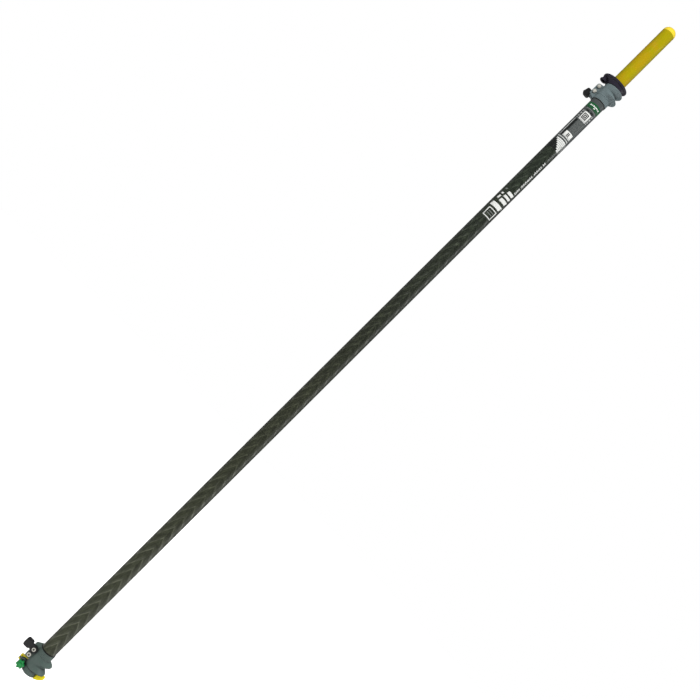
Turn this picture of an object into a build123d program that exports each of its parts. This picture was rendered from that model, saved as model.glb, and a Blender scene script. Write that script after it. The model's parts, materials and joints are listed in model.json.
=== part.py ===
from math import cos, radians, sin, sqrt
import os

from build123d import *

# Two-section telescopic carbon pole. Z runs up the pole, from the mouth of its socket to the
# tip of its spigot. The clamps' levers stand on the -X side and the fins on the +X side.
# All sizes are in millimetres.

os.makedirs("parts", exist_ok=True)

# Tubes
pole_length = 1980.5
tube_r = 17.5
tube_bore_r = 16.25
socket_r = 16.5
socket_top = 166.0
inner_r = 15.85
inner_bore_r = 14.75
stop_ring_height = 6.0
wear_ring_height = 13.5
wear_ring_r = 16.15
wear_ring_slit = (4.0, 1.2)
foot_neck_r = 15.1
foot_rise = 0.5
foot_flange = 0.8
foot_plug_length = 25.0
foot_bore_r = 12.75
foot_end_play = 1.5
spigot_r = 16.2
spigot_bore_r = 13.8
spigot_shank_length = 60.0
cap_height = 17.0
cap_shank_length = 18.0
cap_rim = 2.5
cap_wall = 2.5

# Clamps: the same clamp at both ends, measured from its glued end (0) to its free end
clamp_height = 46.0
clamp_r = 19.0
sleeve_height = 14.0
liner_r = 17.2
liner_length = 28.0
liner_split = (4.0, 1.0)
ear_face = 9.3
lug_reach = 31.0
lug_low = 8.0
lug_height = 37.0
lug_corner = 5.0
channel_half = 3.6
channel_step = 19.2
channel_bottom = 15.0
slit_half = 1.0
clearance = 0.3
shaft_at = (-23.6, 14.7)
screw_at = (-23.6, 29.6)
pin_r = 2.5
cam_r = 3.4
cam_shift = 0.8
shank_tail = 13.4
head_r = 4.5
head_thickness = 2.8
nut_flats = 8.0
nut_thickness = 3.4
head_recess = 1.4
fin_shift = 8.0
fin_r = 22.0
fin_edge = 0.5
flute_count = 28
hub_r = 7.3
hub_face = 14.2
lever_back = 9.6
grip_face = 20.0
grip_at = (-18.0, -4.0)
grip_size = (17.0, 18.0)
grip_corner = 4.8
lever_edge = 1.6
rib_count = 5
rib_pitch = 2.6
rib_r = 0.9
upper_lever_turn = -15.0
upper_clamp_turn = -20.0
hex_socket_r = 2.6
hex_socket_depth = 2.2
flute_r = 1.6
flute_depth = 0.7
flute_low = 1.5
flute_length = 12.0

# Coupling ring, green knob and yellow lever at the socket's mouth
ring_height = 13.5
ring_gap = 1.9
ring_r = 18.0
ring_flutes = 24
neck_length = 3.8
bolt_at = (-22.2, 6.0)
bolt_r = 2.0
knob_r = 9.3
knob_face = 12.8
knob_thickness = 5.6
hub_cap_r = 4.0
lobe_r = 2.6
lobe_count = 6
boss_r = 8.4
flange_r = 8.0
washer_r = 5.6
ear_front = 7.0
ear_back = 4.0
dowel_at = (-30.5, 12.0)
dowel_r = 1.5
bolt_head_r = 4.0
bolt_head = 2.4
yoke_r = 5.5
arm_inner_r = 18.6
arm_outer_r = 21.6
fork_low = 3.5
fork_height = 4.5
arm_low = 0.5
arm_high = 11.2

# Hose guide on the upper clamp
guide_height = 16.0
guide_hole_r = 16.6
lip_height = 6.6
lip_centre = (-3.8, 0)
lip_size = (33.0, 22.6)
lip_round = 2.4
eyelet_x = -29.0
eyelet_r = 4.2
eyelet_low = 1782.4
eyelet_height = 3.6
eyelet_rim = 4.6
eyelet_boss = 2.2
bridge_size = (6.0, 9.0)
cone_r = 21.0

# Label film
label_thickness = 0.12
label_length = 143.0
label_gap = 0.5

lower_clamp_top = ring_height + clamp_height
upper_clamp_low = 1737.0
guide_low = upper_clamp_low + clamp_height
guide_top = guide_low + guide_height
tube_low = lower_clamp_top - sleeve_height
tube_high = upper_clamp_low + sleeve_height
inner_low = socket_top + stop_ring_height + wear_ring_height + foot_end_play
spigot_top = pole_length - cap_height

# Each clamp stands on a seat plane: x to the fins, z from glued end to free end,
# and y to the side where its lever and screw heads are.
# The upper clamp is glued on turned a little, so its levers point to the back.
upper_across = (cos(radians(upper_clamp_turn)), sin(radians(upper_clamp_turn)), 0)
upper_seat = Plane(origin=(0, 0, upper_clamp_low), x_dir=upper_across, z_dir=(0, 0, 1))
lower_seat = Plane(origin=(0, 0, lower_clamp_top), x_dir=(1, 0, 0), z_dir=(0, 0, -1))


def save(piece, name):
    piece.part.label = name
    export_step(piece.part, f"parts/{name}.step")


def side_plane(seat, depth, at=(0, 0), turn=0):
    """A plane across the pole whose y axis runs along it. Extruding goes to the nut side."""
    origin = seat.from_local_coords(Vector(at[0], depth, at[1]))
    along = seat.x_dir * cos(radians(turn)) + seat.z_dir * sin(radians(turn))
    return Plane(origin=origin, x_dir=along, z_dir=seat.y_dir * -1)


def plain_tube(name, outer, inner, low, high):
    with BuildPart() as tube:
        with BuildSketch(Plane.XY.offset(low)):
            Circle(outer)
            Circle(inner, mode=Mode.SUBTRACT)
        extrude(amount=high - low)
    save(tube, name)


def outer_tube():
    with BuildPart() as tube:
        with BuildSketch(Plane.XY.offset(tube_low)):
            Circle(tube_r)
            Circle(tube_bore_r, mode=Mode.SUBTRACT)
        extrude(amount=tube_high - tube_low)
        with BuildSketch(Plane.XY.offset(tube_low)):
            Circle(socket_r)
        extrude(amount=socket_top - tube_low, mode=Mode.SUBTRACT)
    save(tube, "outer_tube")


def tube_foot():
    """Plug glued in the lower end of the inner tube, with a neck that holds the wear ring."""
    neck_low = socket_top + stop_ring_height + foot_rise
    with BuildPart() as foot:
        with BuildSketch(Plane.XY.offset(neck_low)):
            Circle(foot_neck_r)
        extrude(amount=inner_low - neck_low)
        with BuildSketch(Plane.XY.offset(neck_low)):
            Circle(inner_r - 0.1)
        extrude(amount=foot_flange)
        with BuildSketch(Plane.XY.offset(inner_low)):
            Circle(inner_bore_r)
        extrude(amount=foot_plug_length)
        with BuildSketch(Plane.XY.offset(neck_low)):
            Circle(foot_bore_r)
        extrude(amount=inner_low + foot_plug_length - neck_low, mode=Mode.SUBTRACT)
    save(foot, "tube_foot")


def wear_ring():
    ring_low = socket_top + stop_ring_height + foot_rise + foot_flange + 0.1
    with BuildPart() as ring:
        with BuildSketch(Plane.XY.offset(ring_low)):
            Circle(wear_ring_r)
            Circle(foot_neck_r + 0.1, mode=Mode.SUBTRACT)
            with Locations((-wear_ring_r, 0)):
                Rectangle(*wear_ring_slit, mode=Mode.SUBTRACT)
        extrude(amount=wear_ring_height)
    save(ring, "wear_ring")


def spigot():
    with BuildPart() as tube:
        with BuildSketch(Plane.XY.offset(guide_top)):
            Circle(spigot_r)
        extrude(amount=spigot_top - guide_top)
        with BuildSketch(Plane.XY.offset(guide_top - spigot_shank_length)):
            Circle(inner_bore_r)
        extrude(amount=spigot_shank_length)
        with BuildSketch(Plane.XY.offset(guide_top - spigot_shank_length)):
            Circle(spigot_bore_r)
        extrude(amount=spigot_top - guide_top + spigot_shank_length, mode=Mode.SUBTRACT)
    save(tube, "spigot")


def end_cap():
    """Domed plug in the spigot's mouth, with a hollow shank."""
    shoulder = spigot_top + cap_rim
    dome = cap_height - cap_rim
    half_way = (spigot_r * cos(radians(45)), shoulder + dome * sin(radians(45)))
    with BuildPart() as cap:
        with BuildSketch(Plane.XZ):
            with BuildLine():
                Polyline((0, spigot_top), (spigot_r, spigot_top), (spigot_r, shoulder))
                Spline(
                    (spigot_r, shoulder), half_way, (0, pole_length), tangents=((0, 1), (-1, 0))
                )
                Line((0, pole_length), (0, spigot_top))
            make_face()
        revolve(axis=Axis.Z)
        with BuildSketch(Plane.XY.offset(spigot_top - cap_shank_length)):
            Circle(spigot_bore_r)
            Circle(spigot_bore_r - cap_wall, mode=Mode.SUBTRACT)
        extrude(amount=cap_shank_length)
        with BuildSketch(Plane.XY.offset(spigot_top)):
            Circle(spigot_bore_r - cap_wall)
        extrude(amount=7, taper=30, mode=Mode.SUBTRACT)
    save(cap, "end_cap")


def clamp_body(seat, name):
    # each fin's lower root, tip and upper root, and how far out its upper root stands
    fins = ((15.5, 22.0, 31.5, clamp_r), (31.5, 42.3, clamp_height, clamp_r + 1.2))
    with BuildPart() as body:
        with BuildSketch(seat):
            Circle(clamp_r)
        extrude(amount=clamp_height)
        chamfer(body.edges().filter_by(GeomType.CIRCLE), length=0.8)
        with BuildSketch(side_plane(seat, ear_face)) as lug:
            with BuildLine():
                Polyline(
                    (0, 0),
                    (2 - clamp_r, 0),
                    (-lug_reach, lug_low),
                    (-lug_reach, lug_height),
                    (0, lug_height),
                    close=True,
                )
            make_face()
            fillet(lug.vertices().group_by(Axis((0, 0, 0), seat.x_dir))[0], radius=lug_corner)
        extrude(amount=2 * ear_face)
        for low, tip, high, high_r in fins:
            with BuildSketch(seat.offset(low)):
                Circle(clamp_r - 0.1)
            with BuildSketch(seat.offset(tip - fin_edge)):
                with Locations((fin_shift, 0)):
                    Circle(fin_r)
            loft(ruled=True)
            with BuildSketch(seat.offset(tip - fin_edge)):
                with Locations((fin_shift, 0)):
                    Circle(fin_r)
            extrude(amount=2 * fin_edge)
            with BuildSketch(seat.offset(tip + fin_edge)):
                with Locations((fin_shift, 0)):
                    Circle(fin_r)
            with BuildSketch(seat.offset(high)):
                with Locations((high_r - clamp_r, 0)):
                    Circle(clamp_r - 0.1)
            loft(ruled=True)
        with BuildSketch(seat.offset(flute_low)):
            with PolarLocations(clamp_r + flute_r - flute_depth, flute_count):
                Circle(flute_r)
            with Locations((-lug_reach / 2 - 4, 0)):
                Rectangle(lug_reach, 2 * ear_face + 3, mode=Mode.SUBTRACT)
        extrude(amount=flute_length, mode=Mode.SUBTRACT)
        with BuildSketch(seat):
            Circle(tube_r)
        extrude(amount=sleeve_height, mode=Mode.SUBTRACT)
        with BuildSketch(seat.offset(sleeve_height)):
            Circle(liner_r)
        extrude(amount=clamp_height - sleeve_height, mode=Mode.SUBTRACT)
        with BuildSketch(side_plane(seat, channel_half)):
            with BuildLine():
                Polyline(
                    (-lug_reach - 1, lug_low),
                    (-channel_step, lug_low),
                    (-channel_step, channel_bottom),
                    (-15, channel_bottom),
                    (-15, lug_height + 1),
                    (-lug_reach - 1, lug_height + 1),
                    close=True,
                )
            make_face()
        extrude(amount=2 * channel_half, mode=Mode.SUBTRACT)
        with BuildSketch(side_plane(seat, slit_half)):
            with BuildLine():
                Polyline(
                    (-22, lug_height),
                    (-15, lug_height),
                    (-15, clamp_height + 1),
                    (-22, clamp_height + 1),
                    close=True,
                )
            make_face()
        extrude(amount=2 * slit_half, mode=Mode.SUBTRACT)
        with BuildSketch(side_plane(seat, ear_face + 1)):
            with Locations(shaft_at, screw_at):
                Circle(pin_r + 0.05)
        extrude(amount=2 * ear_face + 2, mode=Mode.SUBTRACT)
    save(body, name)


def clamp_liner(seat, bore_r, name):
    """Split grip sleeve in the free end of the clamp, with a window for the shoe."""
    with BuildPart() as liner:
        with BuildSketch(seat.offset(sleeve_height + 0.1)):
            Circle(liner_r)
            Circle(bore_r, mode=Mode.SUBTRACT)
            with PolarLocations(liner_r, 1, start_angle=60):
                Rectangle(*liner_split, mode=Mode.SUBTRACT)
        extrude(amount=liner_length)
        with BuildSketch(side_plane(seat, channel_half)):
            with BuildLine():
                Polyline((-20, 14.9), (-10, 14.9), (-10, 36.5), (-20, 36.5), close=True)
            make_face()
        extrude(amount=2 * channel_half, mode=Mode.SUBTRACT)
    save(liner, name)


def socket_head(seat, at, low, name, cam=False):
    """Round-headed pin with a hex socket. A cam shaft also has its eccentric in the channel."""
    with BuildPart() as pin:
        with BuildSketch(side_plane(seat, low + head_thickness, at)):
            Circle(head_r)
        extrude(amount=head_thickness)
        fillet(pin.edges().group_by(seat_axis(seat))[-1], radius=0.5)
        with BuildSketch(side_plane(seat, low, at)):
            Circle(pin_r)
        extrude(amount=low + shank_tail)
        if cam:
            with BuildSketch(side_plane(seat, channel_half - clearance, at)):
                with Locations((cam_shift, 0)):
                    Circle(cam_r)
            extrude(amount=2 * (channel_half - clearance))
        with BuildSketch(side_plane(seat, low + head_thickness, at)):
            RegularPolygon(hex_socket_r, 6)
        extrude(amount=hex_socket_depth, mode=Mode.SUBTRACT)
    save(pin, name)


def seat_axis(seat):
    return Axis((0, 0, 0), seat.y_dir)


def hex_nut(seat, at, name):
    with BuildPart() as nut:
        with BuildSketch(side_plane(seat, -ear_face - 0.1, at)):
            RegularPolygon(nut_flats / sqrt(3), 6)
        extrude(amount=nut_thickness)
        with BuildSketch(side_plane(seat, -ear_face, at)):
            Circle(pin_r)
        extrude(amount=nut_thickness + 1, mode=Mode.SUBTRACT)
    save(nut, name)


def thumb_lever(seat, turn, name):
    """Black thumb lever on the cam shaft. Its grip has ribs across its outer end."""
    rib_at = grip_at[0] - grip_size[0] / 2
    with BuildPart() as lever:
        with BuildSketch(side_plane(seat, hub_face, shaft_at, turn)):
            Circle(hub_r)
            with BuildLine():
                Polyline((0, hub_r - 1), (-12, 4), (-12, -9.5), (-2, -hub_r + 0.3), close=True)
            make_face()
        extrude(amount=hub_face - lever_back)
        with BuildSketch(side_plane(seat, grip_face, shaft_at, turn)):
            with Locations(grip_at):
                RectangleRounded(*grip_size, grip_corner)
        extrude(amount=grip_face - lever_back)
        outer_rim = lever.edges().group_by(seat_axis(seat))[-1]
        fillet(outer_rim, radius=lever_edge)
        with BuildSketch(side_plane(seat, grip_face + 1, shaft_at, turn)):
            with Locations((rib_at, grip_at[1])):
                with GridLocations(0, rib_pitch, 1, rib_count):
                    Circle(rib_r)
        extrude(amount=grip_face + 2, mode=Mode.SUBTRACT)
        with BuildSketch(side_plane(seat, hub_face + 1, shaft_at, turn)):
            Circle(head_r + 0.3)
        extrude(amount=hub_face + 1 - lever_back - head_recess, mode=Mode.SUBTRACT)
        with BuildSketch(side_plane(seat, hub_face, shaft_at, turn)):
            Circle(pin_r)
        extrude(amount=hub_face, mode=Mode.SUBTRACT)
    save(lever, name)


def pressure_shoe(seat, face_r, name):
    """Rocking shoe on the clamp screw. The cam pushes its nose against the tube."""
    with BuildPart() as shoe:
        with BuildSketch(side_plane(seat, channel_half - clearance)):
            with BuildLine():
                Polyline(
                    (-19.3, 15.6),
                    (-15, 15.6),
                    (-15, 29.0),
                    (-18.0, 31.0),
                    (-18.0, 34.6),
                    (-26.0, 34.6),
                    (-28.2, 32.0),
                    (-28.2, 26.0),
                    (-23.0, 22.0),
                    (-19.3, 20.0),
                    close=True,
                )
            make_face()
            with Locations(screw_at):
                Circle(pin_r + 0.1, mode=Mode.SUBTRACT)
        extrude(amount=2 * (channel_half - clearance))
        with BuildSketch(seat.offset(10)):
            Circle(face_r)
        extrude(amount=30, mode=Mode.SUBTRACT)
    save(shoe, name)


def clamp(seat, side, liner_bore_r, shoe_r, lever_turn):
    clamp_body(seat, f"{side}_clamp_body")
    clamp_liner(seat, liner_bore_r, f"{side}_clamp_liner")
    thumb_lever(seat, lever_turn, f"{side}_thumb_lever")
    socket_head(seat, shaft_at, lever_back + head_recess, f"{side}_cam_shaft", cam=True)
    socket_head(seat, screw_at, ear_face, f"{side}_clamp_screw")
    hex_nut(seat, shaft_at, f"{side}_shaft_nut")
    hex_nut(seat, screw_at, f"{side}_screw_nut")
    pressure_shoe(seat, shoe_r, f"{side}_pressure_shoe")


def dowel_strip(half_width, reach):
    """Corners of a strip from the dowel towards the pole's axis."""
    dowel = Vector(dowel_at)
    inward = dowel.normalized() * -1
    aside = Vector(-inward.Y, inward.X) * half_width
    end = dowel + inward * reach
    corners = (dowel - aside, dowel + aside, end + aside, end - aside)
    return [(corner.X, corner.Y) for corner in corners]


def coupling_ring():
    with BuildPart() as ring:
        with BuildSketch(Plane.XZ):
            with BuildLine():
                Line((socket_r, 0), (ring_r - 1, 0))
                ThreePointArc((ring_r - 1, 0), (ring_r - 0.3, 0.3), (ring_r, 1))
                Polyline(
                    (ring_r, 1),
                    (ring_r, ring_height - ring_gap),
                    (liner_r - 0.05, ring_height - ring_gap),
                    (liner_r - 0.05, ring_height + neck_length),
                    (socket_r, ring_height + neck_length),
                    (socket_r, 0),
                )
            make_face()
        revolve(axis=Axis.Z)
        with BuildSketch(Plane.XY):
            with PolarLocations(ring_r + flute_r - flute_depth, ring_flutes, start_angle=7.5):
                Circle(flute_r)
        extrude(amount=ring_height - ring_gap - 1.2, mode=Mode.SUBTRACT)
        with BuildSketch(Plane.XY.offset(0.3)):
            with Locations((-22, (ear_back - ear_front) / 2)):
                RectangleRounded(18, ear_front + ear_back, 3)
            Circle(socket_r + 0.6, mode=Mode.SUBTRACT)
        extrude(amount=ring_height - ring_gap - 0.3)
        with BuildSketch(side_plane(Plane.XY, ear_back, bolt_at)):
            Circle(boss_r)
            with Locations((boss_r + 2.4, 0)):
                Rectangle(2 * boss_r, 3 * boss_r, mode=Mode.SUBTRACT)
            with Locations((0, -bolt_at[1] - boss_r + 0.3)):
                Rectangle(3 * boss_r, 2 * boss_r, mode=Mode.SUBTRACT)
        extrude(amount=ear_front + ear_back)
        with BuildSketch(Plane.XY.offset(fork_low + 0.3)):
            with Locations(dowel_at):
                Circle(yoke_r - 0.5)
            with BuildLine():
                Polyline(*dowel_strip(2.9, 15.6), close=True)
            make_face()
            Circle(socket_r + 0.6, mode=Mode.SUBTRACT)
            with Locations(dowel_at):
                Circle(dowel_r, mode=Mode.SUBTRACT)
        extrude(amount=fork_height - 0.6)
        with BuildSketch(Plane.XY):
            with Locations((-24, 0)):
                Rectangle(18, 2)
        extrude(amount=ring_height + neck_length, mode=Mode.SUBTRACT)
        with BuildSketch(side_plane(Plane.XY, 6, bolt_at)):
            Circle(bolt_r + 0.1)
        extrude(amount=20, mode=Mode.SUBTRACT)
        with BuildSketch(side_plane(Plane.XY, 6, bolt_at)):
            RegularPolygon(bolt_head_r + 0.1, 6)
        extrude(amount=4.6, mode=Mode.SUBTRACT)
    save(ring, "coupling_ring")


def coupling_bolt():
    with BuildPart() as bolt:
        with BuildSketch(side_plane(Plane.XY, ear_back - 0.1, bolt_at)):
            RegularPolygon(bolt_head_r, 6)
        extrude(amount=bolt_head)
        with BuildSketch(side_plane(Plane.XY, ear_back - 0.1 - bolt_head, bolt_at)):
            Circle(bolt_r)
        extrude(amount=knob_face + 7.2)
    save(bolt, "coupling_bolt")


def knob_washer():
    with BuildPart() as washer:
        with BuildSketch(side_plane(Plane.XY, -ear_front - 0.1, bolt_at)):
            Circle(washer_r)
        extrude(amount=4.2)
        with BuildSketch(side_plane(Plane.XY, -ear_front - 4.3, bolt_at)):
            Circle(flange_r)
        extrude(amount=1.0)
        with BuildSketch(side_plane(Plane.XY, -ear_front, bolt_at)):
            Circle(bolt_r + 0.1)
        extrude(amount=6, mode=Mode.SUBTRACT)
    save(washer, "knob_washer")


def star_knob():
    """Six-lobed knob that turns on the coupling bolt."""
    with BuildPart() as knob:
        with BuildSketch(side_plane(Plane.XY, -knob_face, bolt_at)):
            Circle(knob_r - lobe_r + 0.3)
            with PolarLocations(knob_r - lobe_r, lobe_count, start_angle=18):
                Circle(lobe_r)
        extrude(amount=knob_thickness)
        fillet(knob.faces().sort_by(Axis.Y)[0].edges(), radius=0.9)
        with BuildSketch(side_plane(Plane.XY, -knob_face - knob_thickness + 0.4, bolt_at)):
            Circle(hub_cap_r)
        extrude(amount=3.0)
        fillet(knob.faces().sort_by(Axis.Y)[0].edges(), radius=1.2)
        with BuildSketch(side_plane(Plane.XY, -knob_face, bolt_at)):
            Circle(bolt_r + 0.06)
        extrude(amount=6.4, mode=Mode.SUBTRACT)
    save(knob, "star_knob")


def coupling_lever():
    """Yellow lever: a yoke on the dowel, an arm round the back and a finger tab at the right."""
    far = 60.0
    gap_from = far * cos(radians(138)), far * sin(radians(138))
    gap_to = far * cos(radians(-27)), far * sin(radians(-27))
    with BuildPart() as lever:
        with BuildSketch(Plane.XY.offset(arm_low)):
            Circle(arm_outer_r)
            with BuildLine():
                Polyline((0, 0), gap_from, (-far, -far), (0, -far), gap_to, close=True)
            make_face(mode=Mode.SUBTRACT)
            with BuildLine():
                Polyline((19.2, -9.2), (35.4, 5.6), (34.6, 9.4), (14, 19), (10, 10), close=True)
            make_face()
            with BuildLine():
                Polyline((-31.5, 17.3), (-12, 18.5), (-10, 15), (-16, 10), (-27.5, 8), close=True)
            make_face()
            Circle(arm_inner_r, mode=Mode.SUBTRACT)
            with Locations(dowel_at):
                Circle(yoke_r)
        extrude(amount=arm_high - arm_low)
        with BuildSketch(Plane.XY.offset(fork_low)):
            with Locations(dowel_at):
                Circle(yoke_r + 1.2)
            with BuildLine():
                Polyline(*dowel_strip(4.2, 16.5), close=True)
            make_face()
        extrude(amount=fork_height, mode=Mode.SUBTRACT)
        with BuildSketch(Plane.XZ.offset(20)):
            with BuildLine():
                Polyline((26, 0), (37, 5.4), (37, -1), (26, -1), close=True)
            make_face()
        extrude(amount=-60, mode=Mode.SUBTRACT)
        with BuildSketch(Plane.XY):
            with Locations(dowel_at):
                Circle(dowel_r + 0.08)
        extrude(amount=ring_height, mode=Mode.SUBTRACT)
    save(lever, "coupling_lever")


def lever_dowel():
    with BuildPart() as dowel:
        with BuildSketch(Plane.XY.offset(0.6)):
            with Locations(dowel_at):
                Circle(dowel_r)
        extrude(amount=10.5)
    save(dowel, "lever_dowel")


def hose_guide():
    """Rubber collar over the upper clamp: an oval lip and an eyelet for the hose."""
    lip_low = guide_top - lip_height
    with BuildPart() as guide:
        with BuildSketch(Plane.XY.offset(lip_low)):
            with Locations(lip_centre):
                Ellipse(*lip_size)
        extrude(amount=lip_height)
        fillet(guide.edges().filter_by(GeomType.ELLIPSE), radius=lip_round)
        with BuildSketch(Plane.XY.offset(guide_low + 0.1)):
            Circle(cone_r)
        with BuildSketch(Plane.XY.offset(lip_low + 0.1)):
            with Locations(lip_centre):
                Ellipse(lip_size[0] - 4.5, lip_size[1] - 3.0)
        loft(ruled=True)
        with BuildSketch(Plane.XY.offset(eyelet_low)):
            with Locations((eyelet_x, 0)):
                Circle(eyelet_r + eyelet_rim)
        extrude(amount=eyelet_height)
        with BuildSketch(Plane.XY.offset(eyelet_low)):
            with Locations((eyelet_x, 0)):
                Circle(eyelet_r + eyelet_boss)
        extrude(amount=lip_low - eyelet_low + 1)
        with BuildSketch(Plane.XY.offset(guide_low + 0.1)):
            with Locations((-20.5, 0)):
                Rectangle(*bridge_size)
        extrude(amount=lip_low - guide_low)
        with BuildSketch(Plane.XY.offset(guide_low - 3.5)):
            Circle(liner_r - 0.05)
        extrude(amount=4)
        with BuildSketch(Plane.XY.offset(guide_low - 4)):
            Circle(guide_hole_r)
        extrude(amount=guide_height + 5, mode=Mode.SUBTRACT)
        with BuildSketch(Plane.XY.offset(eyelet_low - 1)):
            with Locations((eyelet_x, 0)):
                Circle(eyelet_r)
        extrude(amount=24, mode=Mode.SUBTRACT)
    save(guide, "hose_guide")


outer_tube()
plain_tube("stop_ring", tube_bore_r, inner_bore_r - 1, socket_top, socket_top + stop_ring_height)
tube_foot()
wear_ring()
plain_tube("inner_tube", inner_r, inner_bore_r, inner_low, guide_top - 0.2)
spigot()
end_cap()
clamp(upper_seat, "upper", inner_r + 0.2, inner_r + 0.15, upper_lever_turn)
clamp(lower_seat, "lower", socket_r, socket_r + 0.15, 0)
coupling_ring()
coupling_bolt()
knob_washer()
star_knob()
coupling_lever()
lever_dowel()
hose_guide()
label_low = upper_clamp_low - label_gap - label_length
plain_tube("label_film", tube_r + label_thickness, tube_r, label_low, label_low + label_length)
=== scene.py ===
import json
import math

import bmesh
import bpy
from mathutils import Matrix, Vector


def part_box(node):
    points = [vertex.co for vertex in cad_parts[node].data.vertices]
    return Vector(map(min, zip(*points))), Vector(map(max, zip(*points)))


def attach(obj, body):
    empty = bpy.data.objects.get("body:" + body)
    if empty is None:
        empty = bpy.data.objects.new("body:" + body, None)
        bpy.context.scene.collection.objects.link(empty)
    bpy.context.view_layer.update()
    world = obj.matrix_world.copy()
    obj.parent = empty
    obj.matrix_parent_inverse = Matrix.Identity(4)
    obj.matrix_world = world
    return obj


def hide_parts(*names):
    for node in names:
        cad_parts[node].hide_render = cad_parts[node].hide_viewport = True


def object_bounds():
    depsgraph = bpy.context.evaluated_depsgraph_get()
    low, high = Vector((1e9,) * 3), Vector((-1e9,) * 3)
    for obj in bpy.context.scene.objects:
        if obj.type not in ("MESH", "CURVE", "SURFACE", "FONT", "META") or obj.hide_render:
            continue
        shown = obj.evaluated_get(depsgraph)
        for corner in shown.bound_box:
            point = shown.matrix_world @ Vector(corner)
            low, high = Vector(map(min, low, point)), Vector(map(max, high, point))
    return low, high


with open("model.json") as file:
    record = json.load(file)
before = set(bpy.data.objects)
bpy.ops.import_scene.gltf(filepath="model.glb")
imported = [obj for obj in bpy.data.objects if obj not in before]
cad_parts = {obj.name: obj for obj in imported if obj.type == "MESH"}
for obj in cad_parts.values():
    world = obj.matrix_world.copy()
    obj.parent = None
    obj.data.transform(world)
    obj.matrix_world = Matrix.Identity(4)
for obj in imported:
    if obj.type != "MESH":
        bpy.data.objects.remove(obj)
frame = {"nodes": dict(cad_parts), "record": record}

cadLow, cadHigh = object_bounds()
nodes = frame["nodes"]
mm = 0.001

# where things are, read from the frame
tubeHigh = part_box("outer_tube")[1]
tubeRadius = tubeHigh.x
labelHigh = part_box("label_film")[1]
print("frame loaded:", len(nodes), "nodes")


def addNode(tree, kind, values=None, **settings):
    made = tree.nodes.new(kind)
    for key, value in settings.items():
        setattr(made, key, value)
    for key, value in (values or {}).items():
        made.inputs[key].default_value = value
    return made


def wire(tree, source, target):
    tree.links.new(source, target)


def math2(tree, operation, first, second=None, clamp=False):
    made = addNode(tree, "ShaderNodeMath", operation=operation, use_clamp=clamp)
    for index, value in enumerate((first, second)):
        if value is None:
            continue
        if isinstance(value, (int, float)):
            made.inputs[index].default_value = value
        else:
            wire(tree, value, made.inputs[index])
    return made.outputs[0]


def times(tree, first, second, clamp=False):
    return math2(tree, "MULTIPLY", first, second, clamp=clamp)


def shift(tree, base, mask, amount):
    # the base, plus an amount where the mask is bright
    return math2(tree, "ADD", times(tree, mask, amount), base)


def mixColour(tree, factor, first, second, blend="MIX"):
    made = addNode(tree, "ShaderNodeMix", data_type="RGBA", blend_type=blend)
    for index, value in ((0, factor), (6, first), (7, second)):
        if isinstance(value, (int, float)):
            made.inputs[index].default_value = value
        elif isinstance(value, tuple):
            made.inputs[index].default_value = (*value, 1.0)
        else:
            wire(tree, value, made.inputs[index])
    return made.outputs[2]


def lay(tree, shade, mask, share, tone):
    # a share of a tone over the shade, where the mask is bright
    return mixColour(tree, times(tree, mask, share), shade, tone)


def ramp(tree, source, stops):
    made = addNode(tree, "ShaderNodeValToRGB")
    wire(tree, source, made.inputs[0])
    points = made.color_ramp.elements
    while len(points) < len(stops):
        points.new(0.5)
    for point, (place, level) in zip(points, stops):
        point.position = place
        point.color = (level, level, level, 1.0)
    return made.outputs[0]


def objectPlace(tree):
    return addNode(tree, "ShaderNodeTexCoord").outputs["Object"]


def stretched(tree, place, scale, rotation=(0.0, 0.0, 0.0)):
    made = addNode(tree, "ShaderNodeMapping", {"Scale": scale, "Rotation": rotation})
    wire(tree, place, made.inputs["Vector"])
    return made.outputs[0]


def noise(tree, place, **values):
    # a noise texture; a value may be a number or a socket
    made = addNode(tree, "ShaderNodeTexNoise")
    wire(tree, place, made.inputs["Vector"])
    for key, value in values.items():
        if isinstance(value, (int, float)):
            made.inputs[key.title()].default_value = value
        else:
            wire(tree, value, made.inputs[key.title()])
    return made.outputs["Fac"]


def relief(tree, shader, height, strength, distance, roundedNormal=None):
    bump = addNode(tree, "ShaderNodeBump", {"Strength": strength, "Distance": distance})
    wire(tree, height, bump.inputs["Height"])
    if roundedNormal is not None:
        wire(tree, roundedNormal, bump.inputs["Normal"])
    wire(tree, bump.outputs[0], shader.inputs["Normal"])


def newGroup(name, inputs, outputs):
    tree = bpy.data.node_groups.new(name, "ShaderNodeTree")
    for label, value in inputs:
        socket = tree.interface.new_socket(label, in_out="INPUT", socket_type="NodeSocketFloat")
        socket.default_value = value
    for label, kind in outputs:
        tree.interface.new_socket(label, in_out="OUTPUT", socket_type=kind)
    return tree, addNode(tree, "NodeGroupInput").outputs, addNode(tree, "NodeGroupOutput").inputs


def useGroup(tree, group, values=None):
    return addNode(tree, "ShaderNodeGroup", values, node_tree=group).outputs


def newMaterial(name, colour, roughness, shaderValues=None):
    material = bpy.data.materials.new(name)
    material.use_nodes = True
    material.diffuse_color = (*colour, 1.0)
    tree = material.node_tree
    shader = tree.nodes["Principled BSDF"]
    shader.inputs["Base Color"].default_value = (*colour, 1.0)
    shader.inputs["Roughness"].default_value = roughness
    for key, value in (shaderValues or {}).items():
        shader.inputs[key].default_value = value
    return material, tree, shader


wearLook = {"smoothness": 6, "gain": 5.0, "patches": [(0.38, 0.0), (0.62, 1.0)]}


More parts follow.
